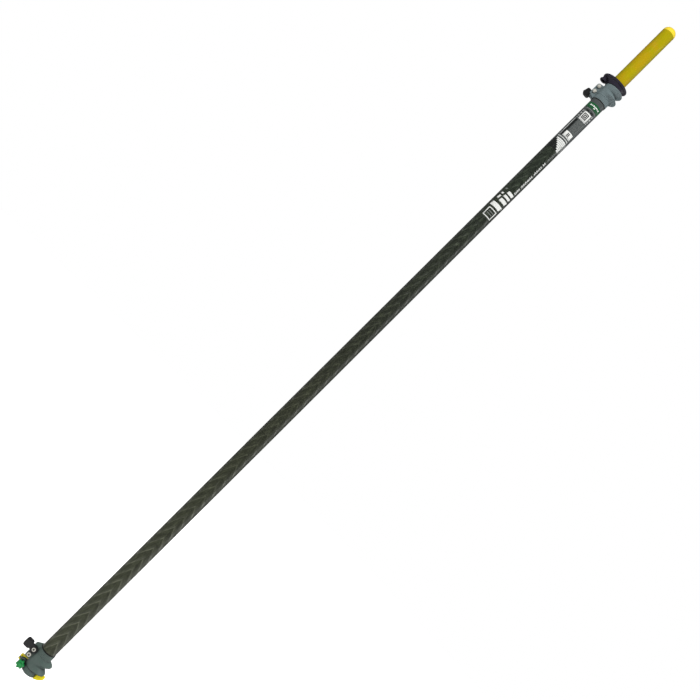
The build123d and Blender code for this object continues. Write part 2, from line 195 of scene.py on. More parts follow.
def makeEdgeWear():
    # rounded edges, rubbed in patches
    look = wearLook
    tree, ins, outs = newGroup(
        "edgeWear", [("Radius", 0.3 * mm), ("Wear", 0.5), ("Patch Scale", 300.0)],
        [("Normal", "NodeSocketVector"), ("Mask", "NodeSocketFloat")])
    bevel = addNode(tree, "ShaderNodeBevel", samples=look["smoothness"])
    wire(tree, ins["Radius"], bevel.inputs["Radius"])
    wire(tree, bevel.outputs[0], outs["Normal"])
    flat = addNode(tree, "ShaderNodeNewGeometry")
    turned = addNode(tree, "ShaderNodeVectorMath", operation="DOT_PRODUCT")
    wire(tree, bevel.outputs[0], turned.inputs[0])
    wire(tree, flat.outputs["Normal"], turned.inputs[1])
    edge = math2(tree, "SUBTRACT", 1.0, turned.outputs["Value"])
    patches = noise(tree, objectPlace(tree), scale=ins["Patch Scale"], detail=4.0, roughness=0.7)
    worn = times(tree, edge, look["gain"], clamp=True)
    worn = times(tree, worn, ramp(tree, patches, look["patches"]))
    wire(tree, times(tree, worn, ins["Wear"], clamp=True), outs["Mask"])
    return tree


paintedCornerShadeLook = {"smoothness": 8, "fall": [(0.06, 0.0), (0.60, 1.0)]}


def makePaintedCornerShade():
    # painted shade: corners where two surfaces meet are darkened by how much ambient occlusion hides them
    look = paintedCornerShadeLook
    tree, ins, outs = newGroup(
        "paintedCornerShade", [("Reach", 4.0 * mm), ("Depth", 1.0)], [("Mask", "NodeSocketFloat")])
    hidden = addNode(tree, "ShaderNodeAmbientOcclusion", samples=look["smoothness"])
    wire(tree, ins["Reach"], hidden.inputs["Distance"])
    shut = math2(tree, "SUBTRACT", 1.0, hidden.outputs["AO"])
    shut = ramp(tree, shut, look["fall"])
    wire(tree, times(tree, shut, ins["Depth"], clamp=True), outs["Mask"])
    return tree


def makeMouldGrain():
    # a fine grain for bumps, and soft clouds for tone
    tree, ins, outs = newGroup(
        "mouldGrain", [("Grain Scale", 2600.0), ("Cloud Scale", 45.0)],
        [("Height", "NodeSocketFloat"), ("Tone", "NodeSocketFloat")])
    place = objectPlace(tree)
    grain = noise(tree, place, scale=ins["Grain Scale"], detail=3.0, roughness=0.6)
    cloud = noise(tree, place, scale=ins["Cloud Scale"], detail=5.0, roughness=0.65)
    wire(tree, grain, outs["Height"])
    wire(tree, ramp(tree, cloud, [(0.25, 0.0), (0.75, 1.0)]), outs["Tone"])
    return tree


handlingLook = {
    "along": (1.0, 1.0, 0.06),       # scratches run along the pole
    "askew": (0.12, 0.05, 0.0),
    "scratches": [(0.62, 0.0), (0.70, 1.0)],
    "rubbed": [(0.42, 0.0), (0.68, 1.0)],
}


def makeHandling():
    # fine scratches along the pole and rubbed patches
    look = handlingLook
    tree, ins, outs = newGroup(
        "handling", [("Scratch Scale", 900.0), ("Patch Scale", 22.0)],
        [("Scratches", "NodeSocketFloat"), ("Rubbed", "NodeSocketFloat")])
    place = objectPlace(tree)
    along = stretched(tree, place, look["along"], look["askew"])
    lines = noise(tree, along, scale=ins["Scratch Scale"], detail=2.0, roughness=0.5)
    patches = noise(tree, place, scale=ins["Patch Scale"], detail=6.0, roughness=0.7)
    rubbed = ramp(tree, patches, look["rubbed"])
    scratch = ramp(tree, lines, look["scratches"])
    wire(tree, times(tree, scratch, rubbed), outs["Scratches"])
    wire(tree, rubbed, outs["Rubbed"])
    return tree


weaveShape = {
    "ridges": 3.0,           # round the tube
    "pitch": 0.0307,         # metres along the tube from one lap line to the next
    "climb": 2.0,            # how steeply a tow rises to its ridge
    "turn": 0.023,           # of a full turn, which brings a ridge to the front
    "towPitch": 0.0021,
    "waver": 0.006,
    "waverScale": 30.0,
    "streakScale": (120.0, 6.0, 9.0),     # across a tow, round the tube and along it
}


def makeHerringbone():
    # tows that climb to a ridge line on each side of it, all round the tube
    look = weaveShape
    tree, ins, outs = newGroup(
        "herringbone",
        [("Tube Radius", 0.0175), ("Ridges", look["ridges"]), ("Pitch", look["pitch"]),
         ("Climb", look["climb"]), ("Turn", look["turn"])],
        [("Band", "NodeSocketFloat"), ("Tow", "NodeSocketFloat"), ("Side", "NodeSocketFloat"),
         ("Streak", "NodeSocketFloat")])
    place = objectPlace(tree)
    split = addNode(tree, "ShaderNodeSeparateXYZ")
    wire(tree, place, split.inputs[0])
    around = math2(tree, "ARCTAN2", split.outputs[0], times(tree, split.outputs[1], -1.0))
    share = math2(tree, "SUBTRACT", math2(tree, "DIVIDE", around, math.tau), ins["Turn"])
    # whole sectors are added to stay above zero, and half a one to put the ridge in its middle
    sector = math2(tree, "FRACT", math2(tree, "ADD", times(tree, share, ins["Ridges"]), 10.5))
    signed = math2(tree, "SUBTRACT", sector, 0.5)
    away = math2(tree, "ABSOLUTE", signed)
    sectorWidth = math2(tree, "DIVIDE", times(tree, ins["Tube Radius"], math.tau), ins["Ridges"])
    drop = times(tree, times(tree, away, sectorWidth), ins["Climb"])
    along = math2(tree, "ADD", split.outputs[2], drop)
    wobble = noise(tree, place, scale=look["waverScale"], detail=2.0)
    along = shift(tree, along, wobble, look["waver"])
    wire(tree, math2(tree, "FRACT", math2(tree, "DIVIDE", along, ins["Pitch"])), outs["Band"])
    wire(tree, math2(tree, "FRACT", math2(tree, "DIVIDE", along, look["towPitch"])), outs["Tow"])
    wire(tree, math2(tree, "GREATER_THAN", signed, 0.0), outs["Side"])
    follow = addNode(tree, "ShaderNodeCombineXYZ")     # short steps across a tow, long ones along it
    for index, (source, scale) in enumerate(zip((along, signed, split.outputs[2]), look["streakScale"])):
        wire(tree, times(tree, source, scale), follow.inputs[index])
    streak = noise(tree, follow.outputs[0], scale=1.0, detail=5.0, roughness=0.68)
    wire(tree, streak, outs["Streak"])
    return tree


edgeWear = makeEdgeWear()
paintedCornerShade = makePaintedCornerShade()
mouldGrain = makeMouldGrain()
handling = makeHandling()
herringbone = makeHerringbone()
print("shared effects made")


carbonLook = {
    "lowTone": (0.040, 0.047, 0.022),     # olive, near the foot
    "highTone": (0.013, 0.015, 0.011),    # charcoal, near the top
    "upward": [(0.05, 0.0), (0.6, 1.0)],
    "coolTint": (0.80, 0.94, 1.0),        # the olive fades out of the upper half
    "cooling": [(0.5, 0.0), (0.85, 1.0)],
    "lineTone": (0.230, 0.250, 0.160),
    "line": [(0.0, 1.0), (0.045, 1.0), (0.10, 0.15), (0.45, 0.0), (0.95, 0.05), (1.0, 0.9)],
    "lineShare": 0.72,
    "lineFade": -0.52,                    # by the top of the tube
    "linePatches": [(0.36, 0.35), (0.60, 1.0)],
    "streakTone": (0.105, 0.116, 0.070),
    "streak": [(0.50, 0.0), (0.74, 1.0)],
    "streakShare": 0.75,
    "darkTone": (0.006, 0.007, 0.004),
    "dark": [(0.26, 1.0), (0.47, 0.0)],
    "darkShare": 0.90,
    "tow": [(0.0, 0.2), (0.3, 1.0), (0.7, 0.8), (1.0, 0.1)],
    "towShare": 0.10,
    "fleckScale": 620.0,
    "brightFlecks": [(0.52, 0.0), (0.72, 1.0)],
    "brightShare": 0.55,
    "darkFlecks": [(0.30, 1.0), (0.47, 0.0)],
    "darkFleckShare": 0.60,
    "paintedSideShade": (0.80, 0.80, 0.80),       # painted shade: tows on one side of a ridge are darkened as if turned from the light
    "scratchTone": (0.22, 0.22, 0.2),
    "scratchShare": 0.3,
    # painted shade: the tube darkens towards this tone in corners found by ambient occlusion
    "cornerShadowTone": (0.004, 0.004, 0.003),
    "cornerReach": 9.0 * mm,
    "cornerDepth": 0.85,
    "roughness": 0.42,
    "lineGloss": -0.08,
    "rub": 0.07,
    "specular": 0.42,
    "lacquer": 0.8,
    "lacquerRoughness": 0.16,
    # the lacquer lies thick beside each line, so the gloss breaks into dashes
    "lacquerBand": [(0.0, 0.35), (0.06, 1.0), (0.22, 0.85), (0.34, 0.06), (1.0, 0.10)],
    "weaveDepth": 0.25 * mm,
    "weaveStrength": 0.6,
    "lapHeight": 2.4,                     # each wrap laps over the one below it
    "towHeight": 0.16,
    "streakHeight": 0.9,
}


def carbonShade(tree, weave, line, tow, marks):
    look = carbonLook
    split = addNode(tree, "ShaderNodeSeparateXYZ")
    wire(tree, objectPlace(tree), split.inputs[0])
    height = math2(tree, "DIVIDE", split.outputs[2], tubeHigh.z)
    upward = ramp(tree, height, look["upward"])
    shade = mixColour(tree, upward, look["lowTone"], look["highTone"])
    streak = ramp(tree, weave["Streak"], look["streak"])
    shade = lay(tree, shade, streak, look["streakShare"], look["streakTone"])
    dark = ramp(tree, weave["Streak"], look["dark"])
    shade = lay(tree, shade, dark, look["darkShare"], look["darkTone"])
    fade = shift(tree, look["lineShare"], upward, look["lineFade"])
    fade = times(tree, fade, ramp(tree, weave["Streak"], look["linePatches"]))
    shade = lay(tree, shade, line, fade, look["lineTone"])
    shade = lay(tree, shade, tow, look["towShare"], look["streakTone"])
    flecks = useGroup(tree, mouldGrain, {"Grain Scale": look["fleckScale"]})
    bright = ramp(tree, flecks["Height"], look["brightFlecks"])
    shade = lay(tree, shade, bright, look["brightShare"], look["streakTone"])
    deep = ramp(tree, flecks["Height"], look["darkFlecks"])
    shade = lay(tree, shade, deep, look["darkFleckShare"], look["darkTone"])
    # painted shade: one side of each ridge darkened, standing in for the sheen on the tows
    side = mixColour(tree, weave["Side"], (1.0, 1.0, 1.0), look["paintedSideShade"])
    shade = mixColour(tree, 1.0, shade, side, blend="MULTIPLY")
    shade = lay(tree, shade, marks["Scratches"], look["scratchShare"], look["scratchTone"])
    # painted shade: darkened in corners, such as where the tube enters a clamp
    corner = useGroup(tree, paintedCornerShade, {"Reach": look["cornerReach"], "Depth": look["cornerDepth"]})
    shade = mixColour(tree, corner["Mask"], shade, look["cornerShadowTone"])
    return mixColour(tree, ramp(tree, height, look["cooling"]), shade, look["coolTint"], blend="MULTIPLY")


def carbonMaterial():
    look = carbonLook
    material, tree, shader = newMaterial(
        "carbonLacquer", look["lowTone"], look["roughness"],
        {"Coat Roughness": look["lacquerRoughness"], "Specular IOR Level": look["specular"]})
    weave = useGroup(tree, herringbone)
    marks = useGroup(tree, handling)
    line = ramp(tree, weave["Band"], look["line"])
    tow = ramp(tree, weave["Tow"], look["tow"])
    wire(tree, carbonShade(tree, weave, line, tow, marks), shader.inputs["Base Color"])
    lacquer = ramp(tree, weave["Band"], look["lacquerBand"])
    wire(tree, times(tree, lacquer, look["lacquer"]), shader.inputs["Coat Weight"])
    rough = shift(tree, look["roughness"], line, look["lineGloss"])
    rough = shift(tree, rough, marks["Rubbed"], look["rub"])
    wire(tree, rough, shader.inputs["Roughness"])
    fall = math2(tree, "SUBTRACT", 1.0, weave["Band"])
    height = shift(tree, times(tree, fall, look["lapHeight"]), tow, look["towHeight"])
    height = shift(tree, height, weave["Streak"], look["streakHeight"])
    relief(tree, shader, height, look["weaveStrength"], look["weaveDepth"])
    return material


mouldedLook = {
    # what a moulding has unless its own row below says otherwise
    "specular": 0.5, "coat": 0.0, "coatRoughness": 0.2, "translucent": 0.0, "translucentReach": 2.0 * mm,
    "grainScale": 2600.0, "grainDepth": 0.06 * mm, "edgeRadius": 0.35 * mm, "patchScale": 60.0,
    # the corner entries paint shade into corners by ambient occlusion; cornerShade is the shadow tone's
    # share of the tone
    "scratchShare": 0.25, "rub": -0.06, "cornerReach": 7.0 * mm, "cornerDepth": 0.8, "cornerShade": 0.08,
}


def mouldedMaterial(name, ownLook):
    # moulded plastic or rubber: clouded colour, fine grain, rounded and rubbed edges
    look = {**mouldedLook, **ownLook}
    material, tree, shader = newMaterial(
        name, look["tone"], look["roughness"],
        {"Specular IOR Level": look["specular"], "Coat Weight": look["coat"],
         "Coat Roughness": look["coatRoughness"], "Subsurface Weight": look["translucent"],
         "Subsurface Scale": look["translucentReach"]})
    grain = useGroup(tree, mouldGrain, {"Grain Scale": look["grainScale"]})
    wear = useGroup(tree, edgeWear, {"Radius": look["edgeRadius"], "Wear": look["wear"]})
    marks = useGroup(tree, handling, {"Patch Scale": look["patchScale"]})
    shade = mixColour(tree, grain["Tone"], look["tone"], look["cloudTone"])
    shade = mixColour(tree, wear["Mask"], shade, look["wornTone"])
    shade = lay(tree, shade, marks["Scratches"], look["scratchShare"], look["wornTone"])
    # painted shade: corners, gaps and grooves darkened towards a shadow tone by ambient occlusion
    corner = useGroup(tree, paintedCornerShade, {"Reach": look["cornerReach"], "Depth": look["cornerDepth"]})
    shadow = tuple(look["cornerShade"] * part for part in look["tone"])
    wire(tree, mixColour(tree, corner["Mask"], shade, shadow), shader.inputs["Base Color"])
    rough = shift(tree, look["roughness"], marks["Rubbed"], look["rub"])
    wire(tree, rough, shader.inputs["Roughness"])
    relief(tree, shader, grain["Height"], look["grain"], look["grainDepth"], wear["Normal"])
    return material


moulded = {
    "slateNylon": {"tone": (0.090, 0.132, 0.118), "cloudTone": (0.118, 0.166, 0.148),
                   "wornTone": (0.24, 0.30, 0.28), "roughness": 0.46, "wear": 0.55, "grain": 0.35},
    "paleSlateNylon": {"tone": (0.140, 0.185, 0.195), "cloudTone": (0.175, 0.225, 0.235),
                       "wornTone": (0.36, 0.41, 0.42), "roughness": 0.46, "wear": 0.55, "grain": 0.35},
    "blackNylon": {"tone": (0.010, 0.010, 0.011), "cloudTone": (0.018, 0.018, 0.020),
                   "wornTone": (0.09, 0.09, 0.09), "roughness": 0.38, "wear": 0.35, "grain": 0.3},
    # painted shadow: near-black for the rings that stand in for the shade at each clamp's mouth
    "shadowRingBlack": {"tone": (0.006, 0.007, 0.006), "cloudTone": (0.012, 0.013, 0.012),
                 "wornTone": (0.03, 0.03, 0.03), "roughness": 0.55, "wear": 0.1, "grain": 0.3},
    "linerNylon": {"tone": (0.045, 0.045, 0.048), "cloudTone": (0.06, 0.06, 0.062),
                   "wornTone": (0.16, 0.16, 0.16), "roughness": 0.5, "wear": 0.2, "grain": 0.2},
    "guideRubber": {"tone": (0.020, 0.017, 0.028), "cloudTone": (0.030, 0.026, 0.042),
                    "wornTone": (0.085, 0.080, 0.11), "roughness": 0.5, "wear": 0.3, "grain": 0.5,
                    "grainScale": 1700.0, "specular": 0.4},
    "capYellow": {"tone": (0.95, 0.70, 0.03), "cloudTone": (1.0, 0.77, 0.06),
                  "wornTone": (1.0, 0.86, 0.35), "roughness": 0.34, "wear": 0.3, "grain": 0.12,
                  "coat": 0.2, "translucent": 0.12},
    "leverYellow": {"tone": (1.0, 0.80, 0.002), "cloudTone": (1.0, 0.86, 0.006),
                    "wornTone": (1.0, 0.86, 0.25), "roughness": 0.5, "wear": 0.3, "grain": 0.12,
                    "specular": 0.2, "translucent": 0.08},
    "knobGreen": {"tone": (0.008, 0.33, 0.07), "cloudTone": (0.014, 0.42, 0.10),
                  "wornTone": (0.22, 0.68, 0.30), "roughness": 0.34, "wear": 0.4, "grain": 0.12,
                  "coat": 0.25, "translucent": 0.05},
}


steelLook = {
    "tone": (0.96, 0.95, 0.88),
    "darkTone": (0.80, 0.78, 0.68),
    "wornTone": (0.95, 0.94, 0.9),
    "metal": 0.45,
    "roughness": 0.3,
    "turningGloss": 0.16,                 # how far the turning marks swing the roughness
    "turningStretch": (1.0, 0.05, 1.0),   # the screws lie along y
    "turningScale": 2400.0,
    "turningStrength": 0.15,
    "turningDepth": 0.03 * mm,
    "cloudScale": 260.0,
    "edgeRadius": 0.2 * mm,
    "wear": 0.5,
    # painted shade: screws darken towards this tone in corners and the hex sockets
    "cornerShadowTone": (0.02, 0.018, 0.012),
    "cornerReach": 3.5 * mm,
    "cornerDepth": 1.0,
}


def steelMaterial():
    look = steelLook
    material, tree, shader = newMaterial(
        "brightSteel", look["tone"], look["roughness"], {"Metallic": look["metal"]})
    place = stretched(tree, objectPlace(tree), look["turningStretch"])
    turning = noise(tree, place, scale=look["turningScale"], detail=3.0)
    grain = useGroup(tree, mouldGrain, {"Cloud Scale": look["cloudScale"]})
    wear = useGroup(tree, edgeWear, {"Radius": look["edgeRadius"], "Wear": look["wear"]})
    shade = mixColour(tree, grain["Tone"], look["darkTone"], look["tone"])
    shade = mixColour(tree, wear["Mask"], shade, look["wornTone"])
    # painted shade: corners and hex sockets darkened by ambient occlusion
    corner = useGroup(tree, paintedCornerShade, {"Reach": look["cornerReach"], "Depth": look["cornerDepth"]})
    wire(tree, mixColour(tree, corner["Mask"], shade, look["cornerShadowTone"]), shader.inputs["Base Color"])
    smoothest = look["roughness"] - look["turningGloss"] / 2
    wire(tree, shift(tree, smoothest, turning, look["turningGloss"]), shader.inputs["Roughness"])
    relief(tree, shader, turning, look["turningStrength"], look["turningDepth"], wear["Normal"])
    return material


spigotLook = {
    "tone": (0.437, 0.349, 0.002),
    "edgeTone": (0.353, 0.322, 0.0015),
    "middleTone": (0.455, 0.318, 0.004),     # browner where the paint pooled
    "streakStretch": (1.0, 1.0, 0.12),
    "streakScale": 140.0,
    "streaks": [(0.35, 0.0), (0.65, 1.0)],
    "blotchScale": 38.0,
    "blotches": [(0.45, 0.0), (0.62, 1.0)],
    "scratchTone": (0.68, 0.60, 0.22),
    "scratchShare": 0.35,
    "patchScale": 30.0,
    "wornTone": (0.75, 0.66, 0.25),
    "edgeRadius": 0.3 * mm,
    "wear": 0.5,
    "roughness": 0.5,
    "rub": -0.08,
    "specular": 0.25,
    "grain": 0.2,
    "grainDepth": 0.08 * mm,
}


def spigotMaterial():
    look = spigotLook
    material, tree, shader = newMaterial(
        "yellowGlassFibre", look["tone"], look["roughness"], {"Specular IOR Level": look["specular"]})
    place = objectPlace(tree)
    along = stretched(tree, place, look["streakStretch"])
    streak = noise(tree, along, scale=look["streakScale"], detail=6.0, roughness=0.6)
    blotch = noise(tree, place, scale=look["blotchScale"], detail=4.0)
    shade = mixColour(tree, ramp(tree, streak, look["streaks"]), look["edgeTone"], look["tone"])
    shade = mixColour(tree, ramp(tree, blotch, look["blotches"]), shade, look["middleTone"])
    marks = useGroup(tree, handling, {"Patch Scale": look["patchScale"]})
    wear = useGroup(tree, edgeWear, {"Radius": look["edgeRadius"], "Wear": look["wear"]})
    shade = lay(tree, shade, marks["Scratches"], look["scratchShare"], look["scratchTone"])
    wire(tree, mixColour(tree, wear["Mask"], shade, look["wornTone"]), shader.inputs["Base Color"])
    rough = shift(tree, look["roughness"], marks["Rubbed"], look["rub"])
    wire(tree, rough, shader.inputs["Roughness"])
    relief(tree, shader, streak, look["grain"], look["grainDepth"], wear["Normal"])
    return material


inkLook = {
    "patchScale": 90.0,
    "grainScale": 5000.0,
    "grain": 0.1,
    "grainDepth": 0.02 * mm,
    "cloudScale": 400.0,
    "fadedShare": 0.35,
    "fadedTone": (0.72, 0.02),            # the ink's own tone times the first, plus the second
    "scratchTone": (0.07, 0.08, 0.08),
    "scratchShare": 0.5,
}
inks = {
    # colour and roughness
    "labelGrey": ((0.070, 0.080, 0.080), 0.4),
    "inkWhite": ((0.90, 0.92, 0.90), 0.45),
    "inkGreen": ((0.010, 0.11, 0.035), 0.45),
    "inkBlack": ((0.008, 0.010, 0.009), 0.45),
    "inkPale": ((0.20, 0.215, 0.205), 0.45),
}


def inkMaterial(name, colour, roughness):
    look = inkLook
    material, tree, shader = newMaterial(name, colour, roughness)
    marks = useGroup(tree, handling, {"Patch Scale": look["patchScale"]})
    grain = useGroup(
        tree, mouldGrain, {"Grain Scale": look["grainScale"], "Cloud Scale": look["cloudScale"]})
    share, lift = look["fadedTone"]
    faded = tuple(share * part + lift for part in colour)
    shade = lay(tree, colour, grain["Tone"], look["fadedShare"], faded)
    shade = lay(tree, shade, marks["Scratches"], look["scratchShare"], look["scratchTone"])
    wire(tree, shade, shader.inputs["Base Color"])
    relief(tree, shader, grain["Height"], look["grain"], look["grainDepth"])
    return material


finish = {name: mouldedMaterial(name, look) for name, look in moulded.items()}
finish["carbonLacquer"] = carbonMaterial()
finish["brightSteel"] = steelMaterial()
finish["yellowGlassFibre"] = spigotMaterial()
for inkName, (inkColour, inkRoughness) in inks.items():
    finish[inkName] = inkMaterial(inkName, inkColour, inkRoughness)

slotFinish = {
    "carbon": "carbonLacquer", "label_film": "labelGrey", "clamp_grey": "slateNylon",
    "clamp_light_grey": "paleSlateNylon", "nylon": "linerNylon", "bright_steel": "brightSteel",
    "black_plastic": "blackNylon", "black_rubber": "guideRubber", "yellow_glass_fibre": "yellowGlassFibre",
    "yellow_plastic": "leverYellow", "green_plastic": "knobGreen",
}
for part in frame["record"]["subparts"]:
    mesh = nodes[part["node"]].data
    mesh.materials.clear()
    mesh.materials.append(finish[slotFinish[part["material_slot"]]])
nodes["end_cap"].data.materials[0] = finish["capYellow"]
print("materials made:", len(finish))


def smoothFaces(data):
    for face in data.polygons:
        face.use_smooth = True


def newPiece(name, mesh, material=None):
    # a bmesh becomes an object in the scene
    data = bpy.data.meshes.new(name)
    mesh.to_mesh(data)
    mesh.free()
    made = bpy.data.objects.new(name, data)
    bpy.context.scene.collection.objects.link(made)
    if material is not None:
        data.materials.append(material)
        smoothFaces(data)
    return made


def loopMesh(rings, closed, count=120):
    # rings of points, skinned one to the next; closed joins the last to the first, or the ends are capped
    mesh = bmesh.new()
    rows = []
    turns = [math.tau * step / count for step in range(count)]
    for z, centre, reachX, reachY in rings:
        row = [((centre + reachX * math.cos(turn)) * mm, reachY * math.sin(turn) * mm, z * mm)
               for turn in turns]
        rows.append([mesh.verts.new(point) for point in row])
    pairs = list(zip(rows, rows[1:])) + ([(rows[-1], rows[0])] if closed else [])
    for lower, upper in pairs:
        for step in range(count):
            after = (step + 1) % count
            mesh.faces.new((lower[step], lower[after], upper[after], upper[step]))
    if not closed:
        mesh.faces.new(list(reversed(rows[0])))
        mesh.faces.new(rows[-1])
    bmesh.ops.recalc_face_normals(mesh, faces=mesh.faces)
    return mesh


guideShape = {
    # each ring: height above the collar's seat, centre's x, reach along x and along y, in millimetres
    "rings": [(-3.4, 0.0, 16.65, 16.65), (-3.4, 0.0, 17.1, 17.1), (0.1, 0.0, 17.1, 17.1),
              (0.1, 0.0, 20.6, 20.6), (0.6, 0.0, 21.0, 21.0), (2.4, -0.2, 21.6, 20.6),
              (4.6, -0.9, 23.2, 20.0), (6.8, -2.0, 25.6, 19.6), (8.6, -3.2, 28.0, 19.5),
              (9.5, -3.8, 30.0, 20.2), (10.1, -3.8, 32.0, 21.7), (11.4, -3.8, 32.9, 22.5),
              (12.4, -3.8, 33.0, 22.6), (12.75, -3.8, 32.5, 22.1), (13.1, -3.8, 33.0, 22.6),
              (14.2, -3.8, 32.9, 22.5), (15.5, -3.8, 31.6, 21.3), (16.0, -3.8, 30.0, 20.2),
              (15.6, -3.4, 27.0, 19.2), (15.5, -2.0, 23.0, 18.4), (15.9, 0.0, 17.6, 17.6),
              (15.2, 0.0, 16.65, 16.65)],
    "height": 16.0,                   # of the guide's top above that seat
    "eyelet": (-29.0, 4.2),           # centre's x and the hole's radius
    # height and radius of each ring of the eyelet's boss
    "eyeletRings": [(-0.6, 7.6), (-0.3, 8.5), (0.6, 8.8), (2.2, 8.8), (2.8, 8.4), (3.4, 7.0),
                    (5.0, 6.4), (11.0, 6.4)],
    "holeSpan": (-2.0, 18.0),
    "bridge": (-23.5, -17.8, 9.0),    # inner and outer x, and width
    "bridgeRise": (5.0, 9.0),         # middle and height
    "voxel": 0.5,
    "softening": 5,
    "softness": 0.5,
}


def bridgeMesh():
    # block that ties the eyelet's boss to the collar
    inner, outer, width = guideShape["bridge"]
    middle, height = guideShape["bridgeRise"]
    mesh = bmesh.new()
    bmesh.ops.create_cube(mesh, size=1.0)
    for corner in mesh.verts:
        corner.co = Vector(((inner + outer) / 2 * mm + corner.co.x * (outer - inner) * mm,
                            corner.co.y * width * mm, middle * mm + corner.co.z * height * mm))
    return mesh


def makeHoseGuide():
    # one moulded piece: collar, oval lip and eyelet run into each other with soft corners
    look = guideShape
    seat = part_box("hose_guide")[1].z - look["height"] * mm
    centre, hole = look["eyelet"]
    bossRings = [(z, centre, radius, radius) for z, radius in look["eyeletRings"]]
    holeRings = [(z, centre, hole, hole) for z in look["holeSpan"]]
    collar = newPiece("collarShape", loopMesh(look["rings"], closed=True))
    boss = newPiece("bossShape", loopMesh(bossRings, closed=False))
    web = newPiece("webShape", bridgeMesh())
    cut = newPiece("holeShape", loopMesh(holeRings, closed=False))
    for helper in (collar, boss, web, cut):
        helper.location.z = seat
    for helper, operation in ((boss, "UNION"), (web, "UNION"), (cut, "DIFFERENCE")):
        join = collar.modifiers.new(helper.name, "BOOLEAN")
        join.operation = operation
        join.solver = "EXACT"
        join.object = helper
    blend = collar.modifiers.new("moulded", "REMESH")
    blend.mode = "VOXEL"
    blend.voxel_size = look["voxel"] * mm
    soften = collar.modifiers.new("softCorners", "SMOOTH")
    soften.factor = look["softness"]
    soften.iterations = look["softening"]
    bpy.context.view_layer.update()
    ready = collar.evaluated_get(bpy.context.evaluated_depsgraph_get())
    data = bpy.data.meshes.new_from_object(ready)
    data.transform(Matrix.Translation((0, 0, seat)))
    for helper in (collar, boss, web, cut):
        bpy.data.objects.remove(helper, do_unlink=True)
    smoothFaces(data)
    data.materials.clear()
    data.materials.append(finish["guideRubber"])
    piece = bpy.data.objects.new("hose_guide_rubber", data)
    bpy.context.scene.collection.objects.link(piece)
    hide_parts("hose_guide")
    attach(piece, "pole")
    print("hose guide faces:", len(data.polygons))


# a near-black ring at each clamp's mouth, painted shadow
shadowRingShape = {
    # millimetres
    "clear": 0.02,                    # of the tube
    "sink": 0.1,                      # into the clamp
    "reach": 1.35,                    # out from the tube, at the clamp
    "rise": 1.5,                      # along the tube
    "curve": [(0.25, 0.8), (0.6, 0.3), (1.0, 0.04), (1.0, 0.0)],     # share of the rise, reach there
}


def makeShadowRing(name, node, towards):
    # painted shadow: a near-black fillet ring in the corner between the tube and a clamp's glued end,
    # standing in for the shade at the clamp's mouth
    look = shadowRingShape
    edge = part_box(node)[1].z if towards > 0 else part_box(node)[0].z
    skin = tubeRadius / mm + look["clear"]
    outside = tubeRadius / mm + look["reach"]
    start = -look["sink"] * towards
    rings = [(start, 0.0, skin, skin), (start, 0.0, outside, outside)]
    for share, reach in look["curve"]:
        rings.append((share * look["rise"] * towards, 0.0, skin + reach, skin + reach))
    piece = newPiece(name, loopMesh(rings, closed=True), finish["shadowRingBlack"])
    piece.data.transform(Matrix.Translation((0, 0, edge)))
    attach(piece, "pole")


makeHoseGuide()
# painted shadow rings where the tube enters each clamp
makeShadowRing("upper_shadow_ring", "upper_clamp_body", -1)
makeShadowRing("lower_shadow_ring", "lower_clamp_body", 1)
print("hose guide and shadow rings made")


printShape = {
    "lift": 0.04,            # millimetres off the film
    "layer": 0.03,           # from one ink to the next
    "tubeLift": 0.035,
    "thickness": 0.03,
    "facet": 1.2,            # how wide a flat may be as a patch bends round the tube
    "rows": 2,
    "slantRows": 6,
    "ringSteps": 72,
    "farthest": 0.995,       # of the radius, the most that a patch reaches to the side
}


def printPatch(mesh, radius, zLow, zHigh, xLow, xHigh, slant=0.0):
    # a patch of ink wrapped on the tube; x is measured across the front, slant shifts its top edge
    look = printShape
    steps = max(2, int(abs(xHigh - xLow) / (look["facet"] * mm)) + 1)
    rows = look["rows"] if slant == 0 else look["slantRows"]
    farthest = look["farthest"]
    grid = []
    for row in range(rows + 1):
        up = row / rows
        z = zLow + (zHigh - zLow) * up
        line = []
        for step in range(steps + 1):
            x = xLow + (xHigh - xLow) * step / steps + slant * up
            angle = math.asin(max(-farthest, min(farthest, x / radius)))
            line.append(mesh.verts.new((radius * math.sin(angle), -radius * math.cos(angle), z)))
        grid.append(line)
    for lower, upper in zip(grid, grid[1:]):
        for step in range(steps):
            mesh.faces.new((lower[step], lower[step + 1], upper[step + 1], upper[step]))


def dropPatch(mesh, radius, dropLow, dropHigh, left, right, slant=0.0):
    # the same in millimetres, with drops below the film's top edge in place of heights
    zLow = labelHigh.z - dropHigh * mm
    zHigh = labelHigh.z - dropLow * mm
    printPatch(mesh, radius, zLow, zHigh, left * mm, right * mm, slant * mm)


def printRing(mesh, radius, zLow, zHigh):
    steps = printShape["ringSteps"]
    turns = [math.tau * step / steps for step in range(steps)]
    rings = []
    for z in (zLow, zHigh):
        row = [(radius * math.cos(turn), radius * math.sin(turn), z) for turn in turns]
        rings.append([mesh.verts.new(point) for point in row])
    for step in range(steps):
        after = (step + 1) % steps
        mesh.faces.new((rings[0][step], rings[0][after], rings[1][after], rings[1][step]))


def finishPrint(name, mesh, ink):
    piece = newPiece(name, mesh, finish[ink])
    thicken = piece.modifiers.new("inkThickness", "SOLIDIFY")
    thicken.thickness = printShape["thickness"] * mm
    thicken.offset = -1.0
    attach(piece, "pole")


